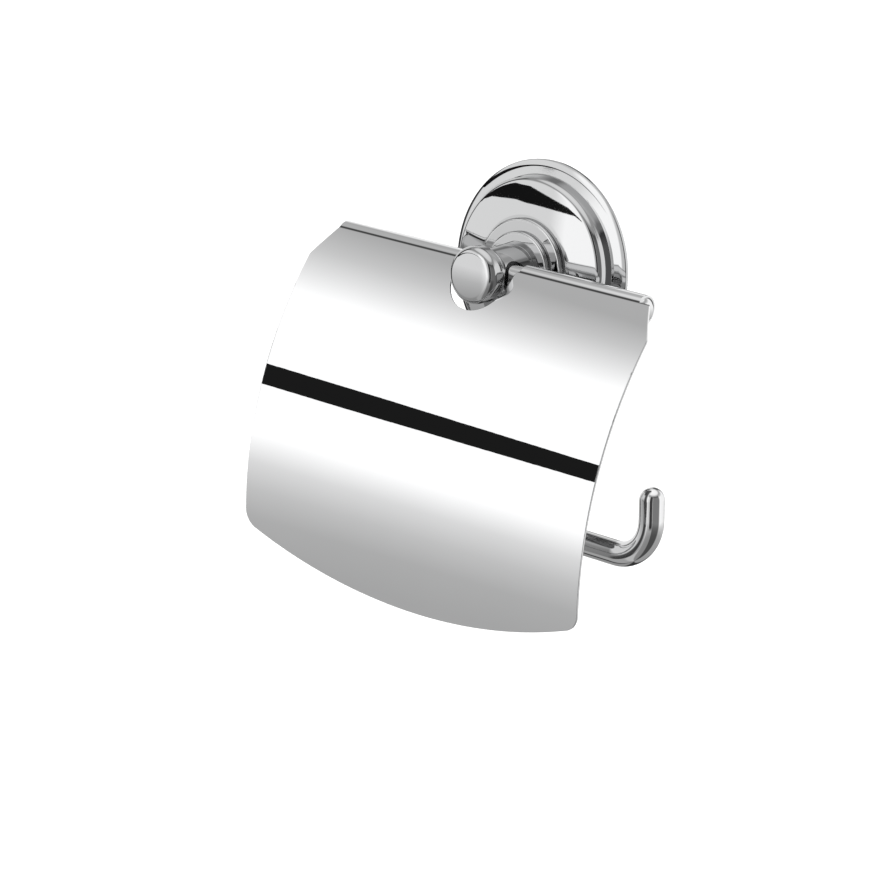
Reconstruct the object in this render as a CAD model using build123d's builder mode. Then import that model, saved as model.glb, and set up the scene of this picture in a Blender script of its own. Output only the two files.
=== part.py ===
"""Wall-mounted toilet paper holder with a curved sheet lid, in millimetres.

Frame: X to the right along the wall, Y into the wall, Z up. The wall is the plane Y = 0 and the
origin is the rosette's centre on it, so the whole holder stands at negative Y. Distances named
"..._out" are measured from the wall towards the room.
"""
import os
from math import asin, cos, degrees, radians, sin

from build123d import *

# ---------------------------------------------------------------- driving dimensions
rod_diameter = 8.0  # bent paper rod, also the hinge pin of the lid
hinge_out = 23.5  # rod's top run, and so the hinge axis, from the wall
bar_drop = 77.4  # hinge axis down to the lower bar's axis
left_leg_inset = 8.0  # rod's left leg in from the lid's left side
hook_outset = 3.3  # corner of the hook out past the lid's right side
hook_height = 23.8  # lower bar's axis up to the top of the hook's dome
hook_lean = 6.5  # degrees that the hook leans in over the roll
rod_bend_radius = 12.0
rod_end_inset = 8.8  # free end of the top run in from the lid's right side
rod_end_chamfer = 1.2

sheet = 0.8  # lid sheet
lid_width = 140.0
lid_length = 118.0  # along the outer face, from the curl to the middle of the bottom edge
lid_slope = 51.0  # degrees below level where the sheet leaves the curl
face_radius = 124.0  # outer face of the lid
bottom_bow = 13.1  # how far the bottom edge's middle hangs below its corners
bottom_corner_radius = 6.0
curl_wrap = 300.0  # degrees of the curl round the rod
shoulder_width = 5.8  # the curl's ends in from the lid's sides
curl_end_gap = 4.0  # the curl stops this much short of the right shoulder
shoulder_chamfer = 9.4  # height of the slanted cut from the curl out to the lid's side
notch_side_clearance = 2.2  # beside the knob, which the edge passes as the lid swings up
notch_foot_clearance = 1.6  # under the knob
curl_gap = 1.1  # between the notch's side and each inner end of the curl
notch_corner_radius = 1.0
leg_relief = 2.0  # past the left leg's bend, where the curl opens into a hood
hood_lip = 92.0  # degrees above level at which the hood ends behind the rod's top
lid_travel = 90.0  # degrees, closed to open

flange_width = 5.4  # rosette's flat flange outside its bell
flange_edge = 1.2
flange_rise = 2.4
bell_radius = 29.6
bell_height = 7.7
rosette_height = 10.0
rosette_wall = 1.0
bell_edge_radius = 2.2
dome_fullness = 0.62  # share of the dome's rise reached half way in from the bell's edge
base_ring_radius = 16.7
base_ring_height = 1.8
top_ring_radius = 12.6
top_ring_height = 1.8

post_root_radius = 9.5
neck_radius = 7.7
neck_past_rod = 3.5  # the neck's thin end, out past the rod's axis
knob_radius = 9.2
knob_back_past_rod = 7.5
knob_face_past_rod = 12.7
knob_edge_radius = 2.6
knob_face_bulge = 0.7
spigot_radius = 6.0

plate_thickness = 3.0
screw_spacing = 38.0
screw_hole_radius = 2.5
boss_radius = 13.0
boss_fillet = 1.0
stud_radius = 3.0
stud_bite = 6.0  # thread length of the stud in the bracket, and again in the post
grub_radius = 2.0  # clamps the rod in the post
rosette_grub_radius = 1.5
grub_lug_width = 11.0
grub_lug_depth = 6.5
grub_socket_share = 0.5  # key socket across corners over the screw's own diameter
grub_recess = 0.3  # outer end of the post's grub screw below the neck's surface
pad_thickness = 0.8
stop_pin_radius = 1.0
stop_pin_inset = 30.0  # in from the lid's right side
stop_pin_angle = -110.0  # degrees from the wall side, round the rod
stop_pin_stand = 0.4  # past the curl's outer face
bush_wall = 0.9
bush_length = 3.5
bush_recess = 1.9  # from the post's side in to the bush's outer end

# ---------------------------------------------------------------- clearances
hinge_clearance = 0.05  # rod in its bushes and in the curl, radial
plate_clearance = 0.5  # bracket plate inside the rosette
spigot_clearance = 0.1
clamp_gap = 0.2  # spigot's end to the boss, so that the stud clamps the rings
pin_clearance = 0.15  # stop pin to the sides of its slot

# ---------------------------------------------------------------- derived places
rod_radius = rod_diameter / 2
bore_radius = rod_radius + hinge_clearance
curl_radius = bore_radius + sheet
half_width = lid_width / 2
curl_half_width = half_width - shoulder_width
curl_right_end = curl_half_width - curl_end_gap
left_leg = half_width - left_leg_inset
hook_reach = half_width + hook_outset
rod_end_reach = half_width - rod_end_inset
stop_pin_reach = half_width - stop_pin_inset
neck_out = hinge_out + neck_past_rod
knob_back_out = hinge_out + knob_back_past_rod
knob_face_out = hinge_out + knob_face_past_rod
hinge = (-hinge_out, 0)
tangent_angle = 90 + lid_slope
tangent = (cos(radians(tangent_angle)), sin(radians(tangent_angle)))
face_centre = (
    hinge[0] + (curl_radius - face_radius) * tangent[0],
    (curl_radius - face_radius) * tangent[1],
)
curl_top_edge = hinge[0] + curl_radius * tangent[0]
curl_top_z = curl_radius * tangent[1]
bottom_angle = tangent_angle + degrees(lid_length / face_radius)
bottom_z = face_centre[1] + face_radius * sin(radians(bottom_angle))
ring_seat = rosette_height + base_ring_height
post_seat = ring_seat + top_ring_height
boss_height = rosette_height - rosette_wall
bell_bore = bell_radius - rosette_wall
rosette_radius = bell_radius + flange_width
dome_middle = (
    (bell_radius + base_ring_radius) / 2,
    bell_height + dome_fullness * (rosette_height - bell_height),
)
plate_radius = bell_bore - plate_clearance
taper = (post_root_radius - neck_radius) / (neck_out - post_seat)
post_radius_at_rod = post_root_radius - taper * (hinge_out - post_seat)
notch_half_width = knob_radius + notch_side_clearance
curl_inner_end = notch_half_width + curl_gap
hood_end = left_leg - rod_bend_radius - leg_relief
notch_top = 4 * curl_radius  # safely above the curl
grub_out = (flange_rise + bell_height) / 2
big = 4 * lid_width

os.makedirs("parts", exist_ok=True)


def save(part, name):
    """Label a finished piece and write it as its own file."""
    part.label = name
    export_step(part, f"parts/{name}.step")


# ---------------------------------------------------------------- wall bracket
# A plate with a boss in the middle that carries the post, and a lug that the rosette's screw bites.
with BuildPart() as wall_bracket:
    with BuildSketch(Plane.XZ):
        Circle(plate_radius)
    extrude(amount=plate_thickness)
    with BuildSketch(Plane.XZ.offset(plate_thickness)):
        Circle(boss_radius)
    extrude(amount=boss_height - plate_thickness)
    boss_root = (
        wall_bracket.edges()
        .filter_by(GeomType.CIRCLE)
        .filter_by(lambda edge: abs(edge.radius - boss_radius) < 0.01)
        .sort_by(Axis.Y)[-1]
    )
    fillet(boss_root, boss_fillet)
    with BuildSketch(Plane.XZ):
        with Locations((0, -plate_radius + grub_lug_depth / 2)):
            Rectangle(grub_lug_width, grub_lug_depth)
        Circle(plate_radius, mode=Mode.INTERSECT)
    extrude(amount=grub_out + rosette_grub_radius)
    with BuildSketch(Plane.XZ):
        with GridLocations(screw_spacing, 0, 2, 1):
            Circle(screw_hole_radius)
    extrude(amount=plate_thickness, mode=Mode.SUBTRACT)
    with BuildSketch(Plane.XZ.offset(boss_height)):
        Circle(stud_radius)
    extrude(amount=-stud_bite, mode=Mode.SUBTRACT)
save(wall_bracket.part, "wall_bracket")

# ---------------------------------------------------------------- rosette
# A turned bell: flat flange on the wall, upright side, and a low dome up to the rings' seat.
with BuildPart() as rosette:
    with BuildSketch(Plane.XY):
        with BuildLine():
            Polyline(
                (bell_bore, 0),
                (rosette_radius, 0),
                (rosette_radius, -flange_edge),
                (rosette_radius - flange_edge, -(flange_edge + flange_rise) / 2),
                (bell_radius + rosette_wall / 2, -flange_rise),
                (bell_radius, -bell_height),
            )
            ThreePointArc(
                (bell_radius, -bell_height),
                (dome_middle[0], -dome_middle[1]),
                (base_ring_radius + rosette_wall, -rosette_height),
            )
            Polyline(
                (base_ring_radius + rosette_wall, -rosette_height),
                (spigot_radius + spigot_clearance, -rosette_height),
                (spigot_radius + spigot_clearance, -boss_height),
                (base_ring_radius + rosette_wall, -boss_height),
            )
            ThreePointArc(
                (base_ring_radius + rosette_wall, -boss_height),
                (dome_middle[0], rosette_wall - dome_middle[1]),
                (bell_bore, rosette_wall - bell_height),
            )
            Line((bell_bore, rosette_wall - bell_height), (bell_bore, 0))
        make_face()
    revolve(axis=Axis.Y)
    bell_edge = (
        rosette.edges()
        .filter_by(GeomType.CIRCLE)
        .filter_by(lambda edge: abs(edge.radius - bell_radius) < 0.01)
    )
    fillet(bell_edge, bell_edge_radius)
    with BuildSketch(Plane.XY.offset(-rosette_radius)):
        with Locations((0, -grub_out)):
            Circle(rosette_grub_radius)
    extrude(amount=rosette_radius - bell_bore + 2 * rosette_wall, mode=Mode.SUBTRACT)
save(rosette.part, "rosette")


def ring(outer_radius, seat, height):
    """Sketch-ready outline of a collar ring with a half-round rim, standing on its seat."""
    bore = spigot_radius + spigot_clearance
    rim = height / 2
    with BuildSketch(Plane.XY) as outline:
        with BuildLine():
            Polyline(
                (outer_radius - rim, -seat),
                (bore, -seat),
                (bore, -seat - height),
                (outer_radius - rim, -seat - height),
            )
            ThreePointArc(
                (outer_radius - rim, -seat - height),
                (outer_radius, -seat - rim),
                (outer_radius - rim, -seat),
            )
        make_face()
    return outline.sketch


# ---------------------------------------------------------------- collar rings
with BuildPart() as collar_base_ring:
    revolve(ring(base_ring_radius, rosette_height, base_ring_height), axis=Axis.Y)
save(collar_base_ring.part, "collar_base_ring")

with BuildPart() as collar_top_ring:
    revolve(ring(top_ring_radius, ring_seat, top_ring_height), axis=Axis.Y)
save(collar_top_ring.part, "collar_top_ring")

# ---------------------------------------------------------------- post
# Tapered neck flaring into a round knob, bored across for the rod and down for the grub screw.
with BuildPart() as post:
    with BuildSketch(Plane.XY):
        with BuildLine():
            Polyline(
                (0, -boss_height - clamp_gap),
                (spigot_radius, -boss_height - clamp_gap),
                (spigot_radius, -post_seat),
                (post_root_radius, -post_seat),
                (neck_radius, -neck_out),
            )
            TangentArc((neck_radius, -neck_out), (knob_radius, -knob_back_out), tangent=(-taper, -1))
            Polyline((knob_radius, -knob_back_out), (knob_radius, -knob_face_out))
            RadiusArc(
                (knob_radius, -knob_face_out),
                (0, -knob_face_out - knob_face_bulge),
                (knob_radius**2 + knob_face_bulge**2) / (2 * knob_face_bulge),
            )
            Line((0, -knob_face_out - knob_face_bulge), (0, -boss_height - clamp_gap))
        outline_face = make_face()
        knob_edge = outline_face.vertices().sort_by_distance((knob_radius, -knob_face_out))[0]
        fillet(knob_edge, knob_edge_radius)
    revolve(axis=Axis.Y)
    with BuildSketch(Plane.YZ):
        with Locations(hinge):
            Circle(bore_radius + bush_wall)
    extrude(amount=big, both=True, mode=Mode.SUBTRACT)
    with BuildSketch(Plane.XY):
        with Locations((0, -hinge_out)):
            Circle(grub_radius)
    extrude(amount=-big, mode=Mode.SUBTRACT)
    with BuildSketch(Plane.XZ):
        Circle(stud_radius)
    extrude(amount=boss_height + clamp_gap + stud_bite, mode=Mode.SUBTRACT)
save(post.part, "post")

# ---------------------------------------------------------------- fasteners of the post and rosette
with BuildPart() as post_stud:
    with BuildSketch(Plane.XZ.offset(boss_height - stud_bite)):
        Circle(stud_radius)
    extrude(amount=2 * stud_bite + clamp_gap)
save(post_stud.part, "post_stud")

grub_inner_z = -bore_radius - pad_thickness
grub_outer_z = -post_radius_at_rod + grub_recess
with BuildPart() as grub_pad:
    with BuildSketch(Plane.XY.offset(grub_inner_z)):
        with Locations((0, -hinge_out)):
            Circle(grub_radius)
    extrude(amount=pad_thickness)
save(grub_pad.part, "grub_pad")

with BuildPart() as post_grub_screw:
    with BuildSketch(Plane.XY.offset(grub_outer_z)):
        with Locations((0, -hinge_out)):
            Circle(grub_radius)
    extrude(amount=grub_inner_z - grub_outer_z)
    with BuildSketch(Plane.XY.offset(grub_outer_z)):
        with Locations((0, -hinge_out)):
            RegularPolygon(grub_radius * grub_socket_share, 6)
    extrude(amount=(grub_inner_z - grub_outer_z) / 2, mode=Mode.SUBTRACT)
save(post_grub_screw.part, "post_grub_screw")

rosette_grub_top = -plate_radius
rosette_grub_bottom = -bell_radius
with BuildPart() as rosette_grub_screw:
    with BuildSketch(Plane.XY.offset(rosette_grub_bottom)):
        with Locations((0, -grub_out)):
            Circle(rosette_grub_radius)
    extrude(amount=rosette_grub_top - rosette_grub_bottom)
    with BuildSketch(Plane.XY.offset(rosette_grub_bottom)):
        with Locations((0, -grub_out)):
            RegularPolygon(rosette_grub_radius * grub_socket_share, 6)
    extrude(amount=(rosette_grub_top - rosette_grub_bottom) / 2, mode=Mode.SUBTRACT)
save(rosette_grub_screw.part, "rosette_grub_screw")

# ---------------------------------------------------------------- paper rod
# One bent round bar in the upright plane of the hinge: top run, left leg, lower bar and hook.
hook_rise = hook_height - rod_radius
hook_tip = (
    hook_reach - hook_rise * sin(radians(hook_lean)) / cos(radians(hook_lean)),
    -bar_drop + hook_rise,
)
pin_direction = (0, cos(radians(stop_pin_angle)), sin(radians(stop_pin_angle)))
pin_root = Plane(origin=(stop_pin_reach, -hinge_out, 0), z_dir=pin_direction)
with BuildPart() as paper_rod:
    with BuildLine(Plane.XZ.offset(hinge_out)) as rod_route:
        FilletPolyline(
            (rod_end_reach, 0),
            (-left_leg, 0),
            (-left_leg, -bar_drop),
            (hook_reach, -bar_drop),
            hook_tip,
            radius=rod_bend_radius,
        )
    with BuildSketch(Plane(origin=rod_route.line @ 0, z_dir=rod_route.line % 0)):
        Circle(rod_radius)
    sweep()
    free_end = paper_rod.edges().filter_by(GeomType.CIRCLE).filter_by(
        lambda edge: abs(edge.center().X - rod_end_reach) < 0.01
    )
    chamfer(free_end, rod_end_chamfer)
    with Locations(rod_route.line @ 1):
        Sphere(rod_radius)
    with BuildSketch(pin_root):
        Circle(stop_pin_radius)
    extrude(amount=rod_diameter, both=True, mode=Mode.SUBTRACT)
save(paper_rod.part, "paper_rod")

with BuildPart() as stop_pin:
    with BuildSketch(pin_root.offset(-rod_radius + hinge_clearance)):
        Circle(stop_pin_radius)
    extrude(amount=rod_radius - hinge_clearance + curl_radius + stop_pin_stand)
save(stop_pin.part, "stop_pin")

# ---------------------------------------------------------------- bushes of the rod in the post
bush_end = post_radius_at_rod - bush_recess
for name, start in (("rod_bush_right", bush_end - bush_length), ("rod_bush_left", -bush_end)):
    with BuildPart() as rod_bush:
        with BuildSketch(Plane.YZ.offset(start)):
            with Locations(hinge):
                Circle(bore_radius + bush_wall)
                Circle(bore_radius, mode=Mode.SUBTRACT)
        extrude(amount=bush_length)
    save(rod_bush.part, name)


def curl_trim(start, edge_y):
    """Section that takes the curl away behind edge_y, and wholly below the hinge."""
    size = 4 * curl_radius
    tail_y = hinge[0] - (curl_radius + bore_radius / sin(radians(lid_slope))) / 2
    with BuildSketch(Plane.YZ.offset(start)) as section:
        with Locations((edge_y + size / 2, 0)):
            Rectangle(size, size)
        with Locations((tail_y + size / 2, -size / 2)):
            Rectangle(size, size)
    return section.sketch


# ---------------------------------------------------------------- lid
# One sheet: a shallow cylindrical face whose top edge is rolled into a curl round the rod.
slot_margin = degrees(asin((stop_pin_radius + pin_clearance) / curl_radius))
slot_start = stop_pin_angle - slot_margin
slot_sweep = lid_travel + 2 * slot_margin
with BuildPart() as lid:
    with BuildSketch(Plane.YZ.offset(-half_width)):
        with BuildLine():
            overrun = degrees((lid_length + bottom_bow) / face_radius)
            outer_curl = CenterArc(hinge, curl_radius, tangent_angle, -curl_wrap)
            inner_curl = CenterArc(hinge, bore_radius, tangent_angle, -curl_wrap)
            outer_face = CenterArc(face_centre, face_radius, tangent_angle, overrun)
            inner_face = CenterArc(face_centre, face_radius - sheet, tangent_angle, overrun)
            Line(outer_curl @ 1, inner_curl @ 1)
            Line(outer_face @ 1, inner_face @ 1)
        make_face()
    extrude(amount=lid_width)
    # Front outline: slanted shoulders beside the curl, and a bowed bottom edge with round corners.
    with BuildSketch(Plane.XZ):
        with BuildLine():
            Polyline(
                (-half_width, bottom_z + bottom_bow),
                (-half_width, curl_top_z - shoulder_chamfer),
                (-curl_half_width, curl_top_z),
                (-curl_half_width, 2 * curl_radius),
                (curl_half_width, 2 * curl_radius),
                (curl_half_width, curl_top_z),
                (half_width, curl_top_z - shoulder_chamfer),
                (half_width, bottom_z + bottom_bow),
            )
            ThreePointArc(
                (half_width, bottom_z + bottom_bow), (0, bottom_z), (-half_width, bottom_z + bottom_bow)
            )
        outline_face = make_face()
        fillet(outline_face.vertices().group_by(Axis.Y)[0], bottom_corner_radius)
    extrude(amount=big, both=True, mode=Mode.INTERSECT)
    # Notch round the knob, widening with a round corner to the curl's inner ends.
    with BuildSketch(Plane.XZ) as notch:
        Ellipse(notch_half_width, knob_radius + notch_foot_clearance)
        with Locations((0, notch_top / 2)):
            Rectangle(2 * notch_half_width, notch_top)
        with Locations((0, (curl_top_z + notch_top) / 2)):
            Rectangle(2 * curl_inner_end, notch_top - curl_top_z)
        for side in (-notch_half_width, notch_half_width):
            fillet(notch.vertices().sort_by_distance((side, curl_top_z))[0], notch_corner_radius)
    extrude(amount=big, both=True, mode=Mode.SUBTRACT)
    extrude(curl_trim(-curl_inner_end, curl_top_edge), amount=2 * curl_inner_end, mode=Mode.SUBTRACT)
    # The curl stops short of the right shoulder.
    extrude(curl_trim(curl_right_end, curl_top_edge), amount=half_width, mode=Mode.SUBTRACT)
    # Past the left leg the curl is only a hood, so that the leg can come down out of it.
    lip_y = hinge[0] + curl_radius * cos(radians(hood_lip))
    extrude(curl_trim(-half_width, lip_y), amount=half_width - hood_end, mode=Mode.SUBTRACT)
    # Slot in the underside of the curl, whose ends meet the stop pin at both ends of the travel.
    with BuildSketch(Plane.YZ.offset(stop_pin_reach - stop_pin_radius - pin_clearance)):
        with BuildLine():
            slot_outer = CenterArc(hinge, curl_radius + sheet, slot_start, slot_sweep)
            slot_inner = CenterArc(hinge, bore_radius - sheet, slot_start, slot_sweep)
            Line(slot_outer @ 0, slot_inner @ 0)
            Line(slot_outer @ 1, slot_inner @ 1)
        make_face()
    extrude(amount=2 * (stop_pin_radius + pin_clearance), mode=Mode.SUBTRACT)
save(lid.part, "lid")
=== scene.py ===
"""Looks of a wall-mounted toilet paper holder: chromed rosette and post, bent rod, curved lid.

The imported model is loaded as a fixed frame: X to the right along the wall, Y into the wall, Z up,
with the origin at the rosette's centre on the wall. Sizes in the classes are in millimetres and
become metres when a mesh is made. Chrome is a mirror, so every chromed piece is a fine surface of
its own, and the studio round it is a world of soft light bands that the mirror picks up.
"""

import logging
from dataclasses import dataclass
from enum import Enum
from math import acos, asin, cos, degrees, hypot, pi, radians, sin, tan
from typing import Any, List, Mapping, Optional, Sequence, Tuple, Union

import bmesh
import bpy
import numpy as np
from mathutils import Matrix, Vector


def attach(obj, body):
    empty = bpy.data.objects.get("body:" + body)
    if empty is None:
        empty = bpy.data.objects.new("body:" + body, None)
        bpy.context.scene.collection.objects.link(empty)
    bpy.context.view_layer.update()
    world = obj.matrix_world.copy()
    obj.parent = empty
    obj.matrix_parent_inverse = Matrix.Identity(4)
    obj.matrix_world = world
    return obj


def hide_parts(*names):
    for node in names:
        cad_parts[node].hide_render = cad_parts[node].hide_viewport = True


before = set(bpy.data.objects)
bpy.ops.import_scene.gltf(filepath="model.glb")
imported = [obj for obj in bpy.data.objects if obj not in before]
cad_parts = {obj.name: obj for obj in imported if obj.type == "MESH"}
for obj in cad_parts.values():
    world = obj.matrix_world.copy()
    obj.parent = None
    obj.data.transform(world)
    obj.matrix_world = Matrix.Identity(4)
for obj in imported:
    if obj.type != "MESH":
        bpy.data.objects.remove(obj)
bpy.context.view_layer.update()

MM = 0.001
MERGE = 2e-7  # metres within which two points are one
NEAR = 1e-6  # difference below which two lengths in millimetres are the same
CREASE = 34.0  # degrees past which an edge stays sharp
LOG = logging.getLogger("paper_holder")
Colour = Tuple[float, float, float]
Point2 = Tuple[float, float]
Number = Union[int, float]
Operand = Union["Socket", Number]


# ------------------------------------------------------------------------------ shader arithmetic
class Socket:
    """One output socket of a node tree; arithmetic on it adds Math nodes."""

    def __init__(self, graph: "Graph", output: bpy.types.NodeSocket) -> None:
        """Wrap the output socket of a node in its graph."""
        self.graph = graph
        self.output = output

    def math(self, operation: str, *values: Operand) -> "Socket":
        """Return the Math node of this operation on the values, in their order."""
        return self.graph.add("ShaderNodeMath", {"operation": operation}, dict(enumerate(values)))

    def __add__(self, other: Operand) -> "Socket":
        """Return self + other."""
        return self.math("ADD", self, other)

    def __radd__(self, other: Number) -> "Socket":
        """Return other + self."""
        return self.math("ADD", other, self)

    def __sub__(self, other: Operand) -> "Socket":
        """Return self - other."""
        return self.math("SUBTRACT", self, other)

    def __rsub__(self, other: Number) -> "Socket":
        """Return other - self."""
        return self.math("SUBTRACT", other, self)

    def __mul__(self, other: Operand) -> "Socket":
        """Return self * other."""
        return self.math("MULTIPLY", self, other)

    def __rmul__(self, other: Number) -> "Socket":
        """Return other * self."""
        return self.math("MULTIPLY", other, self)

    def __truediv__(self, other: Operand) -> "Socket":
        """Return self / other."""
        return self.math("DIVIDE", self, other)

    def root(self) -> "Socket":
        """Return the square root of self."""
        return self.math("SQRT", self)

    def absolute(self) -> "Socket":
        """Return self without its sign."""
        return self.math("ABSOLUTE", self)

    def above(self, level: Number) -> "Socket":
        """Return 1 where self is greater than level, otherwise 0."""
        return self.math("GREATER_THAN", self, level)

    def clamped(self) -> "Socket":
        """Return self held between 0 and 1."""
        return self.graph.add("ShaderNodeClamp", {}, {"Value": self})


class Graph:
    """Adds nodes to one node tree."""

    def __init__(self, tree: bpy.types.NodeTree) -> None:
        """Empty the tree and keep it."""
        self.tree = tree
        tree.nodes.clear()

    def add(
        self,
        kind: str,
        settings: Optional[Mapping[str, Any]] = None,
        inputs: Optional[Mapping[Union[str, int], Any]] = None,
        output: Union[str, int] = 0,
    ) -> Socket:
        """Add a node, set its settings, then its sockets.

        Args:
            kind: node type.
            settings: attributes of the node; "stops" is a ramp's list of (place, colour).
            inputs: values or links by socket name or number.
            output: name or number of the output to return.

        Returns:
            The wrapped output socket.
        """
        node = self.tree.nodes.new(kind)
        for name, value in (settings or {}).items():
            if name == "stops":
                self._set_stops(node.color_ramp, value)
            else:
                setattr(node, name, value)
        for name, value in (inputs or {}).items():
            if isinstance(value, Socket):
                self.tree.links.new(value.output, node.inputs[name])
            else:
                node.inputs[name].default_value = value
        return Socket(self, node.outputs[output]) if len(node.outputs) else Socket(self, None)

    @staticmethod
    def _set_stops(ramp: bpy.types.ColorRamp, stops: Sequence[Tuple[float, Colour]]) -> None:
        """Fill a colour ramp with stops.

        Args:
            ramp: the ramp to fill.
            stops: (place, colour) pairs in rising order of place.
        """
        ramp.interpolation = "LINEAR"
        while len(ramp.elements) < len(stops):
            ramp.elements.new(1.0)
        for element, (place, colour) in zip(ramp.elements, stops):
            element.position = place
            element.color = (*colour, 1.0)

    def mix(self, share: Any, first: Any, second: Any) -> Socket:
        """Return the colour between first and second by share."""
        return self.add(
            "ShaderNodeMix", {"data_type": "RGBA"}, {0: share, 6: first, 7: second}, output=2
        )

    def noise(self, place: Socket, scale: float, detail: float, rough: float = 0.5) -> Socket:
        """Return a noise pattern's value at a place."""
        inputs = {"Vector": place, "Scale": scale, "Detail": detail, "Roughness": rough}
        return self.add("ShaderNodeTexNoise", {}, inputs)

    def part(self, vector: Socket, axis: str) -> Socket:
        """Return one part, X, Y or Z, of a vector."""
        return self.add("ShaderNodeSeparateXYZ", {}, {"Vector": vector}, axis)

    def bump(self, strength: float, distance: float, height: Socket) -> Socket:
        """Return the normal lifted by a height."""
        inputs = {"Strength": strength, "Distance": distance, "Height": height}
        return self.add("ShaderNodeBump", {}, inputs, "Normal")

    def surface(self, colour: Any, rough: Any, normal: Optional[Socket], metal: float) -> None:
        """Close the tree with a Principled shader.

        Args:
            colour: base colour.
            rough: roughness.
            normal: bumped normal, or None for the plain one.
            metal: 1 for a metal, otherwise 0.
        """
        inputs = {"Base Color": colour, "Metallic": metal, "Roughness": rough}
        if normal is not None:
            inputs["Normal"] = normal
        shader = self.add("ShaderNodeBsdfPrincipled", {}, inputs)
        self.add("ShaderNodeOutputMaterial", {}, {"Surface": shader})


def new_material(name: str) -> Tuple[bpy.types.Material, Graph, Socket]:
    """Start a material.

    Args:
        name: its name.

    Returns:
        The material, its graph and its object coordinates.
    """
    material = bpy.data.materials.new(name)
    material.use_nodes = True
    graph = Graph(material.node_tree)
    return material, graph, graph.add("ShaderNodeTexCoord", output="Object")


def tone(value: float) -> Colour:
    """Return the neutral colour of this linear value."""
    return (value, value, value)


class Grain(Enum):
    """Which way the last polish ran, as the stretch of its marks along X, Y and Z."""

    ACROSS_SHEET = (0.05, 1.0, 1.0)
    TURNED = (1.0, 0.08, 1.0)
    EVEN = (1.0, 1.0, 1.0)


@dataclass(frozen=True)
class MirrorChrome:
    """Bright chrome plate over polished brass or steel, with a faint haze and polishing marks."""

    name: str
    tint: Colour = (0.82, 0.822, 0.826)
    gloss: float = 0.018
    haze: float = 0.022
    marks: float = 0.035
    grain: Grain = Grain.EVEN
    dulling: float = 0.965
    drift_scale: float = 38.0
    speck_scale: float = 420.0
    mark_scale: float = 2600.0
    mark_depth: float = 0.00001

    def make(self) -> bpy.types.Material:
        """Make the material: tint and roughness drift slowly, and fine marks lift the normal.

        Returns:
            The material; its roughness is gloss + haze * drift * specks + gloss * lines / 5.
        """
        material, graph, place = new_material(self.name)
        drift = graph.noise(place, self.drift_scale, detail=2.0)
        along = graph.add("ShaderNodeMapping", {}, {"Vector": place, "Scale": self.grain.value})
        lines = graph.noise(along, self.mark_scale, detail=3.0, rough=0.6)
        specks = graph.noise(place, self.speck_scale, detail=1.0)
        dulled = tuple(self.dulling * part for part in self.tint)
        # The finish's painted shade, if it has any, goes into the colour here.
        colour = self.painted_shade(graph, place, graph.mix(drift, (*self.tint, 1.0), (*dulled, 1.0)))
        rough = self.gloss + self.haze * drift * specks + 0.2 * self.gloss * lines
        bump = graph.bump(self.marks, self.mark_depth, lines)
        graph.surface(colour, rough, bump, metal=1.0)
        return material

    def painted_shade(self, graph: Graph, place: Socket, colour: Socket) -> Socket:
        """Return the colour as it is: a turned or drawn piece has no seam, and no shade is painted
        on it.
        """
        return colour


@dataclass(frozen=True)
class RolledSheetChrome(MirrorChrome):
    """Chromed sheet with a fine dark line of painted shade where the curl starts, for the shadow in
    the gap between the curl and the face.
    """

    # Painted shade line at the curl's foot: its place in Y and Z, half width, tone and share.
    shade_line_out: float = 0.02727
    shade_line_height: float = 0.00305
    shade_line_half: float = 0.00024
    shade_line_tone: float = 0.03
    shade_line_share: float = 0.9

    def painted_shade(self, graph: Graph, place: Socket, colour: Socket) -> Socket:
        """Darken a line of painted shade by 2 - distance / half width from the curl's foot in the
        (Y, Z) plane, for the shadow in the gap between curl and face.

        Args:
            graph: the material's graph.
            place: object coordinates.
            colour: colour of the plain sheet.

        Returns:
            The colour with the painted shade line in it.
        """
        out = graph.part(place, "Y") + self.shade_line_out
        height = graph.part(place, "Z") - self.shade_line_height
        distance = (out * out + height * height).root()
        # Mask of the painted shade line: 1 within one half width of the curl's foot, fading to 0 at
        # two half widths.
        line = (2.0 - distance / self.shade_line_half).clamped()
        return graph.mix(self.shade_line_share * line, colour, (*tone(self.shade_line_tone), 1.0))


@dataclass(frozen=True)
class SatinSteel:
    """Plated or plain steel with a short brushed grain and a mottled coat."""

    name: str
    tint: Colour
    rough: float = 0.34
    rough_swings: Tuple[float, float] = (0.14, 0.06)
    mottle: float = 0.18
    stretch: Tuple[float, float, float] = (0.12, 1.0, 1.0)
    flake_scale: float = 520.0
    cloud_scale: float = 140.0
    brush_scale: float = 3200.0
    brush_strength: float = 0.3
    brush_depth: float = 0.00003

    def make(self) -> bpy.types.Material:
        """Make the material: crystals of the coat vary the tint, brushed lines the roughness.

        Returns:
            The material; its roughness is rough - 0.1 plus a swing with the lines and one with
            the crystals, 0.2 in all.
        """
        material, graph, place = new_material(self.name)
        cells = {"Vector": place, "Scale": self.flake_scale}
        flakes = graph.add("ShaderNodeTexVoronoi", {}, cells, "Color")
        shade = graph.add("ShaderNodeSeparateColor", {}, {"Color": flakes}, "Red")
        cloud = graph.noise(place, self.cloud_scale, detail=4.0)
        along = graph.add("ShaderNodeMapping", {}, {"Vector": place, "Scale": self.stretch})
        brush = graph.noise(along, self.brush_scale, detail=2.0)
        darker = tuple((1.0 - self.mottle) * part for part in self.tint)
        colour = graph.mix(0.5 * shade + 0.5 * cloud, (*self.tint, 1.0), (*darker, 1.0))
        brush_swing, flake_swing = self.rough_swings
        least = self.rough - (brush_swing + flake_swing) / 2
        rough = least + brush_swing * brush + flake_swing * shade
        bump = graph.bump(self.brush_strength, self.brush_depth, brush)
        graph.surface(colour, rough, bump, metal=1.0)
        return material


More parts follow.
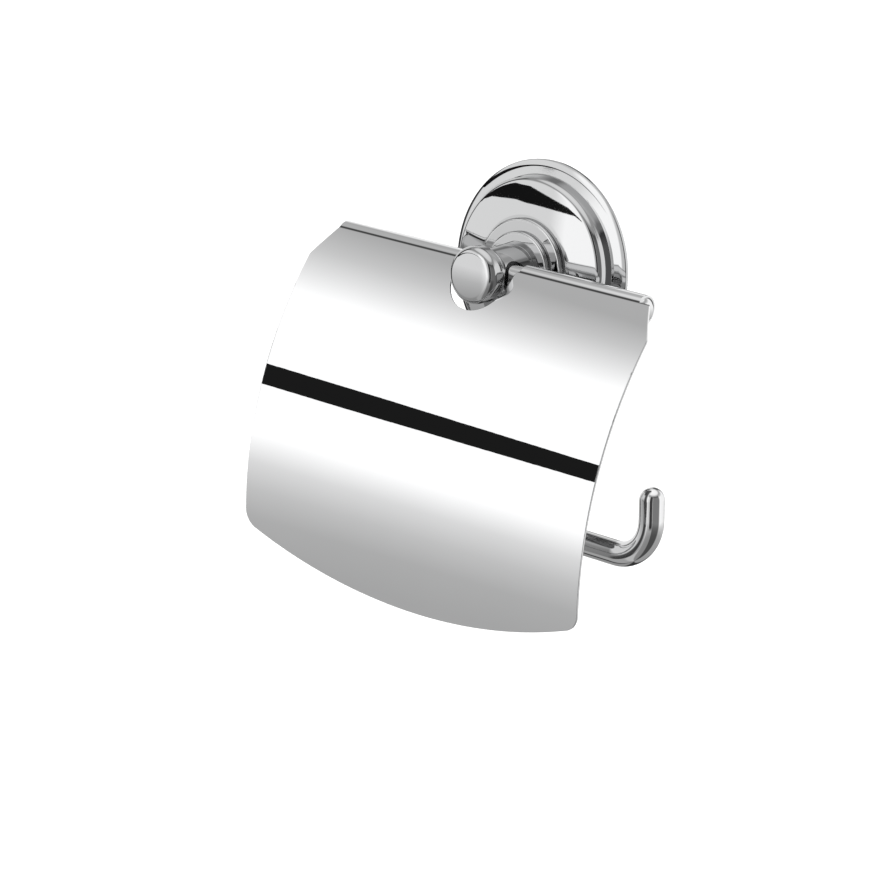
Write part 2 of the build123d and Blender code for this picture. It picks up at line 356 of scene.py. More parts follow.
@dataclass(frozen=True)
class MouldedNylon:
    """Black moulded nylon with a fine eroded skin."""

    name: str
    tint: Colour = (0.035, 0.035, 0.037)
    flow_scale: float = 260.0
    skin_scale: float = 4200.0
    skin_strength: float = 0.25
    skin_depth: float = 0.00004
    paling: float = 1.6
    rough: float = 0.42
    rough_swing: float = 0.2

    def make(self) -> bpy.types.Material:
        """Make the material: flow clouds vary the tint, the skin's grain the roughness and normal.

        Returns:
            The material.
        """
        material, graph, place = new_material(self.name)
        flow = graph.noise(place, self.flow_scale, detail=3.0)
        skin = graph.noise(place, self.skin_scale, detail=2.0)
        paler = tuple(self.paling * part for part in self.tint)
        colour = graph.mix(flow, (*self.tint, 1.0), (*paler, 1.0))
        bump = graph.bump(self.skin_strength, self.skin_depth, skin)
        graph.surface(colour, self.rough + self.rough_swing * skin, bump, metal=0.0)
        return material


@dataclass
class Finishes:
    """Every finish of the holder, made once."""

    turned_chrome_painted_shade: bpy.types.Material
    bar_chrome_painted_shade: bpy.types.Material
    sheet_chrome: bpy.types.Material
    zinc: bpy.types.Material
    screw: bpy.types.Material
    nylon: bpy.types.Material

    @classmethod
    def make(cls) -> "Finishes":
        """Make the materials.

        Returns:
            All of them, by what they are for.
        """
        return cls(
            # The turned chrome's tint 0.52 and the bar chrome's 0.74 are darker than the sheet's
            # 0.82. This is painted shade: the lower tints stand in for reflections darker than the
            # studio gives.
            MirrorChrome("turned_chrome_painted_shade", (0.52, 0.522, 0.525), grain=Grain.TURNED).make(),
            MirrorChrome("bar_chrome_painted_shade", (0.74, 0.741, 0.744), gloss=0.02, haze=0.02).make(),
            RolledSheetChrome(
                "sheet_chrome", gloss=0.003, haze=0.006, marks=0.02, grain=Grain.ACROSS_SHEET
            ).make(),
            SatinSteel("zinc_plate", (0.62, 0.63, 0.64)).make(),
            SatinSteel("screw_steel", (0.45, 0.45, 0.46), rough=0.4, mottle=0.1).make(),
            MouldedNylon("black_nylon").make(),
        )


# ------------------------------------------------------------------------------ curves in a plane
def arc(centre: Point2, radius: float, start: float, end: float, step: float = 4.0) -> np.ndarray:
    """Points of a circular arc: centre + radius * (cos a, sin a) for a from start to end.

    Args:
        centre: centre of the circle.
        radius: its radius.
        start: first angle in degrees.
        end: last angle in degrees.
        step: largest angle between points.

    Returns:
        Points as an (n, 2) array.
    """
    count = max(2, int(abs(end - start) / step) + 2)
    angle = np.radians(np.linspace(start, end, count))
    return np.asarray(centre) + radius * np.stack([np.cos(angle), np.sin(angle)], axis=1)


def run(start: Point2, end: Point2, guard: float = 0.12, step: float = 2.5) -> np.ndarray:
    """Points of a straight run, with one close to each end so that the shading stays flat.

    Args:
        start: first point.
        end: last point.
        guard: distance of the extra points from the ends.
        step: largest distance between the others.

    Returns:
        Points as an (n, 2) array, (1 - t) * start + t * end.
    """
    length = hypot(end[0] - start[0], end[1] - start[1])
    inner = np.linspace(0.0, 1.0, max(2, int(length / step) + 2))
    share = guard / length if length > 4 * guard else 0.25
    t = np.unique(np.concatenate([inner, [share, 1.0 - share]]))[:, None]
    return (1 - t) * np.asarray(start) + t * np.asarray(end)


def rounded(points: Sequence[Point2], radii: Sequence[float], step: float = 6.0) -> np.ndarray:
    """A polyline with round corners: straight runs joined by arcs tangent to both.

    Args:
        points: corners in order.
        radii: radius at each inner corner, 0 for a sharp one.
        step: largest angle between points of an arc.

    Returns:
        Points as an (n, 2) array.
    """
    pieces: List[np.ndarray] = []
    last = np.asarray(points[0], float)
    for corner, after, radius in zip(points[1:-1], points[2:], radii):
        corner_at, after_at = np.asarray(corner, float), np.asarray(after, float)
        inward = (last - corner_at) / np.linalg.norm(last - corner_at)
        onward = (after_at - corner_at) / np.linalg.norm(after_at - corner_at)
        half = acos(float(np.clip(inward @ onward, -1, 1))) / 2
        if radius <= 0:
            pieces.append(run(tuple(last), tuple(corner_at)))
            last = corner_at
            continue
        start, end = (corner_at + radius / tan(half) * way for way in (inward, onward))
        bisector = (inward + onward) / np.linalg.norm(inward + onward)
        centre = corner_at + radius / sin(half) * bisector
        first = degrees(np.arctan2(*(start - centre)[::-1]))
        turn = (degrees(np.arctan2(*(end - centre)[::-1])) - first + 180) % 360 - 180
        pieces.append(run(tuple(last), tuple(start)))
        pieces.append(arc(tuple(centre), radius, first, first + turn, step))
        last = end
    pieces.append(run(tuple(last), points[-1]))
    return np.concatenate(pieces)


def circle_through(a: Point2, b: Point2, c: Point2) -> Tuple[Point2, float]:
    """Circle through three points: its centre lies where the bisectors of two chords meet.

    Args:
        a: first point.
        b: second point.
        c: third point.

    Returns:
        Centre and radius.
    """
    system = 2 * np.array([np.subtract(b, a), np.subtract(c, a)])
    squares = np.array([np.dot(b, b) - np.dot(a, a), np.dot(c, c) - np.dot(a, a)])
    centre = np.linalg.solve(system, squares)
    return (float(centre[0]), float(centre[1])), float(np.linalg.norm(centre - a))


# ------------------------------------------------------------------------------ surfaces and meshes
def grid_faces(rows: int, columns: int, wrap: bool = False) -> np.ndarray:
    """Quads of a grid whose points are numbered row by row.

    Args:
        rows: points down the grid.
        columns: points across it.
        wrap: whether the last column joins the first.

    Returns:
        Faces as an (n, 4) array: (i, j), (i, j+1), (i+1, j+1), (i+1, j).
    """
    across = columns if wrap else columns - 1
    i, j = np.meshgrid(np.arange(rows - 1), np.arange(across), indexing="ij")
    k = (j + 1) % columns
    corners = (i * columns + j, i * columns + k, (i + 1) * columns + k, (i + 1) * columns + j)
    return np.stack([corner.ravel() for corner in corners], axis=1)


def turned(profile: np.ndarray, segments: int = 144) -> Tuple[np.ndarray, np.ndarray]:
    """A profile turned about the Y axis: (r, y) goes to (r cos a, y, r sin a).

    Args:
        profile: (r, y) points; both ends on the axis, or first and last point the same.
        segments: steps round the axis.

    Returns:
        Vertices and faces.
    """
    angle = np.linspace(0, 2 * pi, segments, endpoint=False)
    radius, out = profile[:, :1], profile[:, 1:]
    shape = (radius * np.cos(angle), out + 0 * angle, radius * np.sin(angle))
    return np.stack(shape, axis=2).reshape(-1, 3), grid_faces(len(profile), segments, wrap=True)


def tube(
    centres: np.ndarray,
    ahead: np.ndarray,
    radii: np.ndarray,
    side: Sequence[float],
    segments: int = 64,
) -> Tuple[np.ndarray, np.ndarray]:
    """Rings carried along a path: centre + radius * (cos a * side + sin a * side x ahead).

    Args:
        centres: ring centres, (n, 3).
        ahead: unit directions of the path at the rings, (n, 3).
        radii: ring radii, (n,).
        side: unit vector across every ring, square to the path's plane.
        segments: points round a ring.

    Returns:
        Vertices and faces.
    """
    across = np.broadcast_to(np.asarray(side, float), centres.shape)
    upward = np.cross(across, ahead)
    angle = np.linspace(0, 2 * pi, segments, endpoint=False)[None, :, None]
    ring = np.cos(angle) * across[:, None, :] + np.sin(angle) * upward[:, None, :]
    vertices = centres[:, None, :] + radii[:, None, None] * ring
    return vertices.reshape(-1, 3), grid_faces(len(centres), segments, wrap=True)


def thickened(
    outer: np.ndarray, inner: np.ndarray, faces: np.ndarray
) -> Tuple[np.ndarray, np.ndarray]:
    """A sheet with two skins: every edge that only one face uses gets a wall between the skins.

    Args:
        outer: vertices of the outer skin.
        inner: the same points on the inner skin.
        faces: quads of the outer skin.

    Returns:
        Vertices and faces of the closed sheet.
    """
    edges = np.concatenate([faces[:, [k, (k + 1) % 4]] for k in range(4)])
    either_way = np.sort(edges, axis=1)
    _, first, uses = np.unique(either_way, axis=0, return_index=True, return_counts=True)
    rim = edges[first[uses == 1]]
    shift = len(outer)
    walls = np.stack([rim[:, 1], rim[:, 0], rim[:, 0] + shift, rim[:, 1] + shift], axis=1)
    return np.concatenate([outer, inner]), np.concatenate([faces, faces[:, ::-1] + shift, walls])


def make_piece(
    name: str,
    vertices: np.ndarray,
    faces: np.ndarray,
    material: bpy.types.Material,
    crease: float = CREASE,
) -> bpy.types.Object:
    """Make a closed, smooth-shaded piece with its faces outward and its creases kept sharp.

    Args:
        name: name of the piece.
        vertices: points in millimetres.
        faces: quads, which may meet in a pole.
        material: finish of the piece.
        crease: angle in degrees past which an edge stays sharp.

    Returns:
        The object, at the origin.
    """
    mesh = bpy.data.meshes.new(name)
    mesh.from_pydata((vertices * MM).tolist(), [], faces.tolist())
    working = bmesh.new()
    working.from_mesh(mesh)
    bmesh.ops.remove_doubles(working, verts=working.verts, dist=MERGE)
    bmesh.ops.recalc_face_normals(working, faces=working.faces)
    working.to_mesh(mesh)
    working.free()
    mesh.materials.append(material)
    mesh.shade_smooth()
    mesh.set_sharp_from_angle(angle=radians(crease))
    piece = bpy.data.objects.new(name, mesh)
    bpy.context.scene.collection.objects.link(piece)
    return piece


def bore(
    piece: bpy.types.Object, start: Sequence[float], end: Sequence[float], radius: float
) -> None:
    """Drill a round hole through a piece and keep its creases sharp.

    Args:
        piece: the piece to drill.
        start: one end of the drill's axis, in millimetres.
        end: the other end.
        radius: radius of the hole.
    """
    first, last = np.asarray(start, float), np.asarray(end, float)
    ahead = (last - first) / np.linalg.norm(last - first)
    side = np.cross(ahead, (0.0, 1.0, 0.0) if abs(ahead[1]) < 0.9 else (1.0, 0.0, 0.0))
    centres = np.stack([first, first, last, last])
    ways, radii = np.tile(ahead, (4, 1)), np.array([0, radius, radius, 0])
    vertices, faces = tube(centres, ways, radii, side, segments=72)
    drill = make_piece("drill", vertices, faces, piece.data.materials[0])
    cut = piece.modifiers.new("bore", "BOOLEAN")
    cut.operation, cut.solver, cut.object = "DIFFERENCE", "EXACT", drill
    shown = piece.evaluated_get(bpy.context.evaluated_depsgraph_get())
    drilled = bpy.data.meshes.new_from_object(shown)
    piece.modifiers.clear()
    piece.data = drilled
    drilled.shade_smooth()
    drilled.set_sharp_from_angle(angle=radians(CREASE))
    bpy.data.objects.remove(drill)


def dress(node: str, material: bpy.types.Material) -> None:
    """Give a CAD node that stays its finish, in each of its material slots."""
    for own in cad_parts[node].material_slots:
        own.material = material


def place_piece(
    piece: bpy.types.Object, body: str, nodes: Sequence[str]
) -> bpy.types.Object:
    """Let a piece ride on its body in place of CAD nodes.

    Args:
        piece: the finished piece.
        body: the body that carries it.
        nodes: the CAD nodes it stands for.

    Returns:
        The piece.
    """
    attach(piece, body)
    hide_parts(*nodes)
    faces = len(piece.data.polygons)
    LOG.info("%s on %s: %d faces, for %s", piece.name, body, faces, ", ".join(nodes))
    return piece


# ------------------------------------------------------------------------------ sub-assemblies
@dataclass
class WallFixing:
    """Hidden bracket on the wall, with the stud that draws the post on and the rosette's screw."""

    finishes: Finishes

    def build(self) -> None:
        """Dress the bracket, stud and screw, whose CAD shapes stay."""
        dress("wall_bracket", self.finishes.zinc)
        dress("post_stud", self.finishes.screw)
        dress("rosette_grub_screw", self.finishes.screw)
        LOG.info("wall bracket, stud and rosette screw dressed")


@dataclass
class Rosette:
    """Turned bell: a flat flange, an upright side and a low dome."""

    finishes: Finishes
    flange_radius: float = 35.0
    flange_edge: float = 1.2
    flange_rise: float = 2.4
    bell_radius: float = 29.6
    bell_height: float = 7.7
    height: float = 10.0
    wall: float = 1.0
    seat_radius: float = 17.7
    centre_hole: float = 6.1
    dome_fullness: float = 0.62
    bell_edge: float = 2.2
    screw_out: float = 4.9
    screw_radius: float = 1.5
    screw_depth: float = 3.0
    back_round: float = 0.1
    rim_round: float = 0.4
    flange_bend: float = 6.5
    foot_round: float = 0.12

    def dome(self, inset: float) -> Tuple[Point2, float]:
        """Arc of the dome: the circle through its edge, a point half way in and its seat.

        Args:
            inset: how far the skin lies inside the outer one.

        Returns:
            Centre and radius.
        """
        middle = self.bell_height + self.dome_fullness * (self.height - self.bell_height)
        return circle_through(
            (self.bell_radius - inset, inset - self.bell_height),
            ((self.bell_radius + self.seat_radius - self.wall) / 2, inset - middle),
            (self.seat_radius, inset - self.height),
        )

    def profile(self) -> np.ndarray:
        """Closed outline of the wall: flange and side in runs, bell edge and dome skins as arcs.

        The bell edge is a circle that touches the upright side and, from within, the dome's arc:
        its centre lies one edge radius in from the side, at the dome's radius less its own from
        the dome's centre.

        Returns:
            The (r, y) outline.
        """
        centre, radius = self.dome(0.0)
        middle = self.bell_radius - self.bell_edge
        reach = radius - self.bell_edge
        start = self.edge_angle(centre, reach, middle)
        corner = (middle, centre[1] + reach * sin(radians(start)))
        outside = rounded(
            [
                (self.bell_radius - self.wall, 0.0),
                (self.flange_radius, 0.0),
                (self.flange_radius, -self.flange_edge),
                (self.flange_radius - self.flange_edge, -(self.flange_edge + self.flange_rise) / 2),
                (self.bell_radius + self.wall / 2, -self.flange_rise),
                (self.bell_radius, corner[1]),
            ],
            [self.back_round, self.rim_round, self.flange_bend, self.foot_round],
        )
        edge = arc(corner, self.bell_edge, 0.0, start, step=5.0)
        end = self.edge_angle(centre, radius, self.seat_radius)
        skin = arc(centre, radius, start, end, step=0.7)
        inner_centre, inner_radius = self.dome(self.wall)
        inside = arc(
            inner_centre,
            inner_radius,
            self.edge_angle(inner_centre, inner_radius, self.seat_radius),
            self.edge_angle(inner_centre, inner_radius, self.bell_radius - self.wall),
            step=2.0,
        )
        seat = rounded(
            [
                (self.seat_radius, -self.height),
                (self.centre_hole, -self.height),
                (self.centre_hole, self.wall - self.height),
                (self.seat_radius, self.wall - self.height),
            ],
            [self.back_round, self.back_round],
        )
        back = run((self.bell_radius - self.wall, self.wall - self.bell_height), tuple(outside[0]))
        return np.concatenate([outside, edge, skin, seat, inside, back])

    @staticmethod
    def edge_angle(centre: Point2, radius: float, at: float) -> float:
        """Angle in degrees at which the arc's room-side half is this far from the axis."""
        return -degrees(acos((at - centre[0]) / radius))

    def build(self) -> bpy.types.Object:
        """Turn the profile about the post's axis and drill the screw hole underneath.

        Returns:
            The rosette.
        """
        vertices, faces = turned(self.profile(), segments=192)
        piece = make_piece("rosette_bell", vertices, faces, self.finishes.turned_chrome_painted_shade)
        bore(
            piece,
            (0.0, -self.screw_out, -self.flange_radius - 1),
            (0.0, -self.screw_out, self.screw_depth - self.bell_radius),
            self.screw_radius,
        )
        return place_piece(piece, "bracket", ["rosette"])


@dataclass
class Collar:
    """Two rings with half-round rims, stacked between the rosette and the post."""

    finishes: Finishes
    bore_radius: float = 6.1
    rings: Tuple[Tuple[str, float, float, float], ...] = (
        ("collar_base_ring", 16.7, 10.0, 1.8),
        ("collar_top_ring", 12.6, 11.8, 1.8),
    )
    bore_round: float = 0.08

    def profile(self, radius: float, seat: float, height: float) -> np.ndarray:
        """Closed outline of a ring: flat seats joined outside by a half-round rim.

        Args:
            radius: outer radius.
            seat: distance of its back from the wall.
            height: its thickness.

        Returns:
            The (r, y) outline.
        """
        rim = height / 2
        flats = rounded(
            [
                (radius - rim, -seat),
                (self.bore_radius, -seat),
                (self.bore_radius, -seat - height),
                (radius - rim, -seat - height),
            ],
            [self.bore_round, self.bore_round],
        )
        return np.concatenate([flats, arc((radius - rim, -seat - rim), rim, -90.0, 90.0, step=6.0)])

    def build(self) -> None:
        """Turn both rings."""
        for node, radius, seat, height in self.rings:
            vertices, faces = turned(self.profile(radius, seat, height))
            piece = make_piece(f"{node}_turned", vertices, faces, self.finishes.turned_chrome_painted_shade)
            place_piece(piece, "bracket", [node])


@dataclass
class Post:
    """Turned post: spigot, tapering neck and a knob with a softly domed face, bored for the rod."""

    finishes: Finishes
    hinge_out: float = 23.5
    spigot_radius: float = 6.0
    spigot_back: float = 9.2
    seat: float = 13.6
    root_radius: float = 9.5
    neck_radius: float = 7.7
    neck_out: float = 27.0
    knob_radius: float = 9.2
    knob_back_out: float = 31.0
    knob_face_out: float = 36.2
    knob_edge: float = 2.6
    knob_bulge: float = 0.7
    cross_bore: float = 5.0
    grub_radius: float = 2.0
    spigot_round: float = 0.3
    root_round: float = 0.25
    drill_from: float = 20.0
    grub_to: float = 1.0

    def flare(self) -> np.ndarray:
        """Arc that leaves the neck along its taper and ends at the back of the knob.

        Its radius is chord squared over twice the chord's part square to the taper.

        Returns:
            The (r, y) points.
        """
        taper = (self.root_radius - self.neck_radius) / (self.neck_out - self.seat)
        square = np.array([1.0, -taper]) / hypot(1.0, taper)
        start = np.array([self.neck_radius, -self.neck_out])
        chord = np.array([self.knob_radius, -self.knob_back_out]) - start
        radius = float(chord @ chord / (2 * chord @ square))
        centre = start + radius * square
        first = degrees(np.arctan2(*(start - centre)[::-1])) % 360
        last = degrees(np.arctan2(*(start + chord - centre)[::-1])) % 360
        return arc(tuple(centre), abs(radius), first, last, step=2.0)

    def profile(self) -> np.ndarray:
        """Outline from the spigot's end on the axis to the middle of the knob's face.

        Returns:
            The (r, y) points; the knob's edge arc touches both the side and the domed face.
        """
        cap = (self.knob_radius**2 + self.knob_bulge**2) / (2 * self.knob_bulge)
        cap_centre = cap - self.knob_face_out - self.knob_bulge
        edge_x = self.knob_radius - self.knob_edge
        edge_angle = -degrees(acos(edge_x / (cap - self.knob_edge)))
        edge_y = cap_centre + (cap - self.knob_edge) * sin(radians(edge_angle))
        back = rounded(
            [
                (0.0, -self.spigot_back),
                (self.spigot_radius, -self.spigot_back),
                (self.spigot_radius, -self.seat),
                (self.root_radius, -self.seat),
                (self.neck_radius, -self.neck_out),
            ],
            [self.spigot_round, 0.0, self.root_round],
        )
        side = run((self.knob_radius, -self.knob_back_out), (self.knob_radius, edge_y))
        edge = arc((edge_x, edge_y), self.knob_edge, 0.0, edge_angle, step=3.0)
        face = arc((0.0, cap_centre), cap, edge_angle, -90.0, step=0.4)
        return np.concatenate([back, self.flare(), side, edge, face])

    def build(self) -> bpy.types.Object:
        """Turn the post, bore it for the rod's bushes and for the grub screw, and dress the rest.

        Returns:
            The post.
        """
        vertices, faces = turned(self.profile(), segments=160)
        piece = make_piece("post_turned", vertices, faces, self.finishes.turned_chrome_painted_shade)
        out, reach = -self.hinge_out, self.drill_from
        bore(piece, (-reach, out, 0.0), (reach, out, 0.0), self.cross_bore)
        bore(piece, (0.0, out, -reach), (0.0, out, -self.grub_to), self.grub_radius)
        for node in ("rod_bush_right", "rod_bush_left", "grub_pad"):
            dress(node, self.finishes.nylon)
        dress("post_grub_screw", self.finishes.screw)
        LOG.info("bushes, pad and grub screw of the post dressed")
        return place_piece(piece, "bracket", ["post"])


@dataclass
class PaperRod:
    """Round bar bent three times: top run through the post, left leg, lower bar and hook."""

    finishes: Finishes
    hinge_out: float = 23.5
    radius: float = 4.0
    bend: float = 12.0
    chamfer: float = 1.2
    hook_rise: float = 19.8
    hook_lean: float = 6.5
    edge_guard: float = 0.1
    dome_rings: int = 20
    corners: Tuple[Point2, ...] = ((61.2, 0.0), (-62.0, 0.0), (-62.0, -77.4), (73.3, -77.4))

    def route(self) -> np.ndarray:
        """Centre line in the upright plane of the hinge, with tangent arcs at the bends.

        Returns:
            The (x, z) points from the free end to the foot of the hook's dome.
        """
        last = self.corners[-1]
        tip = (last[0] - self.hook_rise * tan(radians(self.hook_lean)), last[1] + self.hook_rise)
        line = rounded([*self.corners, tip], [self.bend] * 3, step=3.0)
        apart = np.linalg.norm(np.diff(line, axis=0), axis=1)
        return line[np.concatenate([[True], apart > NEAR])]

    def build(self) -> bpy.types.Object:
        """Sweep rings along the route, with a chamfer at the free end and a dome on the hook.

        The dome's rings stand radius * sin a past the end with radius * cos a. Rings close to
        the chamfer's two edges keep the shading flat beside them.

        Returns:
            The rod.
        """
        line = self.route()
        ahead = np.gradient(line, axis=0)
        ahead[0], ahead[-1] = line[1] - line[0], line[-1] - line[-2]
        ahead /= np.linalg.norm(ahead, axis=1, keepdims=True)
        rise = np.radians(np.linspace(4.0, 90.0, self.dome_rings))
        dome = line[-1] + self.radius * np.sin(rise)[:, None] * ahead[-1]
        guard, flat = self.edge_guard, self.radius - self.chamfer
        cut = np.array([0.0, flat - 1.5 * guard, flat, self.radius - guard, self.radius])
        setback = np.array([0.0, 0.0, guard / 2, self.chamfer - guard / 2, self.chamfer + guard])
        front = line[0] + setback[:, None] * ahead[0]
        kept = np.linalg.norm(line - line[0], axis=1) > setback[-1] + guard / 2
        points = np.concatenate([front, line[kept], dome])
        first_way, last_way = np.tile(ahead[0], (len(cut), 1)), np.tile(ahead[-1], (len(rise), 1))
        ways = np.concatenate([first_way, ahead[kept], last_way])
        round_bar = np.full(int(kept.sum()), self.radius)
        radii = np.concatenate([cut, round_bar, self.radius * np.cos(rise)])
        level = np.full((len(points), 1), -self.hinge_out)
        centres = np.concatenate([points[:, :1], level, points[:, 1:]], axis=1)
        onward = np.concatenate([ways[:, :1], 0 * level, ways[:, 1:]], axis=1)
        vertices, faces = tube(centres, onward, radii, (0.0, 1.0, 0.0))
        piece = make_piece("rod_bent", vertices, faces, self.finishes.bar_chrome_painted_shade)
        dress("stop_pin", self.finishes.screw)
        LOG.info("stop pin of the rod dressed")
        return place_piece(piece, "rod", ["paper_rod"])


@dataclass
class SheetLid:
    """One bent sheet: a shallow cylindrical face whose top edge is rolled round the rod."""

    finishes: Finishes
    hinge_out: float = 23.5
    sheet: float = 0.8
    bore_radius: float = 4.05
    half_width: float = 70.0
    length: float = 118.0
    slope: float = 51.0
    face_radius: float = 124.0
    bottom_bow: float = 13.1
    corner_radius: float = 6.0
    wrap: float = 300.0
    curl_half_width: float = 64.2
    curl_right_end: float = 60.2
    hood_end: float = 48.0
    hood_lip: float = 92.0
    shoulder: float = 9.4
    notch_half_width: float = 11.4
    notch_foot: float = 10.8
    notch_corner: float = 1.0
    curl_inner_end: float = 12.5
    slot_place: float = 40.0
    slot_half_width: float = 1.15
    slot_angles: Tuple[float, float] = (-6.3, -123.7)
    rows: int = 104
    edge_guard: float = 0.3
    edge_round: float = 0.14
    edge_steps: int = 2
    edge_angle: float = 55.0
    crease: float = 40.0
    station_step: float = 1.6
    turn_step: float = 3.0
    bowl_steps: int = 60
    bowl_spread: float = 0.3

    @property
    def start_angle(self) -> float:
        """Angle in degrees round the hinge at which the face leaves the curl."""
        return 90.0 + self.slope

    @property
    def curl_radius(self) -> float:
        """Outer radius of the curl."""
        return self.bore_radius + self.sheet

    @property
    def face_centre(self) -> Point2:
        """Centre of the face's arc in the (Y, Z) plane."""
        away = self.curl_radius - self.face_radius
        start = radians(self.start_angle)
        return -self.hinge_out + away * cos(start), away * sin(start)

    @property
    def top(self) -> float:
        """Height at which the face leaves the curl."""
        return self.curl_radius * sin(radians(self.start_angle))

    def along(self, height: np.ndarray) -> np.ndarray:
        """Distance along the face of a height: radius * (pi - asin((z - zc) / radius) - start)."""
        angle = pi - np.arcsin((height - self.face_centre[1]) / self.face_radius)
        return self.face_radius * (angle - radians(self.start_angle))

    def on_face(self, across: np.ndarray, along: np.ndarray, depth: float) -> np.ndarray:
        """Point of the face: (x, yc + r cos a, zc + r sin a) with a = start + along / face radius.

        Args:
            across: X of the points.
            along: their distance along the outer face from the curl.
            depth: how far they lie under the outer face.

        Returns:
            Points as an (n, 3) array.
        """
        angle = radians(self.start_angle) + along.ravel() / self.face_radius
        radius = self.face_radius - depth
        y, z = self.face_centre
        y, z = y + radius * np.cos(angle), z + radius * np.sin(angle)
        return np.stack([across.ravel(), y, z], axis=1)

    def flat_stations(self) -> Tuple[np.ndarray, np.ndarray]:
        """Places across the straight top edge, with one at every end of the curl and the slot.

        Returns:
            The X values left of the notch, and those right of it.
        """
        slot = (self.slot_place - self.slot_half_width, self.slot_place + self.slot_half_width)
        left = [-self.curl_half_width, -self.hood_end, -self.curl_inner_end]
        right = [self.curl_inner_end, *slot, self.curl_right_end, self.curl_half_width]
        sides = []
        for stops in (left, right):
            counts = [int((b - a) / self.station_step) + 2 for a, b in zip(stops, stops[1:])]
            runs = [np.linspace(*ends) for ends in zip(stops, stops[1:], counts)]
            sides.append(np.unique(np.concatenate(runs)))
        return sides[0], sides[1]

    def top_edge(self) -> np.ndarray:
        """Top outline: shoulder, straight edge, notch round the knob, and the same mirrored.

        The notch is the half ellipse (half width * cos a, foot * sin a), with upright sides
        above it and a round corner at each side's top.

        Returns:
            The (x, z) points from the left side to the right.
        """
        low = self.top - self.shoulder
        left, right = self.flat_stations()
        guard = self.edge_guard
        shoulder = run((-self.half_width, low), (-self.curl_half_width, self.top), guard, 0.9)
        centre = (-self.notch_half_width - self.notch_corner, self.top - self.notch_corner)
        corner = arc(centre, self.notch_corner, 90.0, 0.0, step=15.0)
        side = run((-self.notch_half_width, centre[1]), (-self.notch_half_width, 0.0), guard, 0.8)
        bowl = np.radians(np.linspace(180.0, 360.0, self.bowl_steps + 1))
        foot = self.bowl_steps // 2
        notch = [self.notch_half_width * np.cos(bowl), self.notch_foot * np.sin(bowl)]
        notch = np.stack(notch, axis=1)
        inner = np.concatenate([corner, side[1:], notch[1:foot]])
        mirror = np.array([-1.0, 1.0])
        flat = [np.stack([x, np.full(len(x), self.top)], axis=1) for x in (left, right)]
        middle = [inner, notch[foot : foot + 1], inner[::-1] * mirror]
        parts = [shoulder[:-1], flat[0], *middle, flat[1]]
        return np.concatenate([*parts, shoulder[:-1][::-1] * mirror])

    def bottom_edge(self, top: np.ndarray) -> np.ndarray:
        """Bottom outline as (x, z), point for point under the top edge.

        The middle lies on the circle through both corners and the lowest point, and a smaller
        arc tangent to it and to the side rounds each corner. Points are shared out by the top
        edge's width plus a part of its height, so that the notch's sides take up some width.

        Args:
            top: the top outline.

        Returns:
            As many (x, z) points as the top has.
        """
        lowest_angle = radians(self.start_angle) + self.length / self.face_radius
        lowest = self.face_centre[1] + self.face_radius * sin(lowest_angle)
        bow = (self.half_width**2 + self.bottom_bow**2) / (2 * self.bottom_bow)
        round_x = self.half_width - self.corner_radius
        reach = bow - self.corner_radius
        round_z = lowest + bow - (reach**2 - round_x**2) ** 0.5
        sweep = degrees(asin(round_x / reach))
        steps = int(np.sum(top[:, 0] < -self.curl_half_width - NEAR)) + 1
        angle = np.radians(np.linspace(180.0, 270.0 - sweep, steps))
        corner = np.array([-round_x, round_z]) + self.corner_radius * np.stack(
            [np.cos(angle), np.sin(angle)], axis=1
        )
        middle = top[steps - 1 : len(top) - steps + 1]
        stride = np.abs(np.diff(middle, axis=0)) @ np.array([1.0, self.bowl_spread])
        share = np.concatenate([[0.0], np.cumsum(stride)]) / stride.sum()
        x = corner[-1, 0] * (1 - 2 * share)
        arc_points = np.stack([x, lowest + bow - np.sqrt(bow**2 - x**2)], axis=1)
        mirrored = corner[:-1][::-1] * np.array([-1.0, 1.0])
        return np.concatenate([corner[:-1], arc_points, mirrored])

    def face(self) -> Tuple[np.ndarray, np.ndarray, np.ndarray]:
        """The face as two skins: each point slides from the top outline to the bottom one.

        Returns:
            Outer points, inner points and quads.
        """
        top = self.top_edge()
        bottom = self.bottom_edge(top)
        share = np.linspace(0.0, 1.0, self.rows)[:, None]
        across = (1 - share) * top[:, 0] + share * bottom[:, 0]
        along = (1 - share) * self.along(top[:, 1]) + share * self.along(bottom[:, 1])
        skins = [self.on_face(across, along, depth) for depth in (0.0, self.sheet)]
        return skins[0], skins[1], grid_faces(self.rows, len(top))

    def curl(self, stations: np.ndarray, end: float) -> Tuple[np.ndarray, np.ndarray, np.ndarray]:
        """Part of the curl: (x, r cos a, r sin a) about the hinge, from the face round to end.

        Args:
            stations: places across the lid.
            end: last angle in degrees.

        Returns:
            Outer points, inner points and quads, without those of the stop pin's slot.
        """
        turns = (self.hood_lip, *self.slot_angles)
        stops = [self.start_angle, *[turn for turn in turns if turn > end], end]
        counts = [int(abs(a - b) / self.turn_step) + 2 for a, b in zip(stops, stops[1:])]
        runs = [np.linspace(*ends) for ends in zip(stops, stops[1:], counts)]
        angles = np.unique(np.concatenate(runs))[::-1]
        turn, across = np.meshgrid(np.radians(angles), stations, indexing="ij")
        skins = []
        for radius in (self.curl_radius, self.bore_radius):
            y, z = -self.hinge_out + radius * np.cos(turn), radius * np.sin(turn)
            skins.append(np.stack([across, y, z], axis=2).reshape(-1, 3))
        faces = grid_faces(len(angles), len(stations))
        middle = skins[0][faces].mean(axis=1)
        turn_at = np.degrees(np.radians(angles)[faces // len(stations)].mean(axis=1))
        in_slot = np.abs(middle[:, 0] - self.slot_place) < self.slot_half_width
        in_slot &= (turn_at < self.slot_angles[0]) & (turn_at > self.slot_angles[1])
        return skins[0], skins[1], faces[~in_slot]

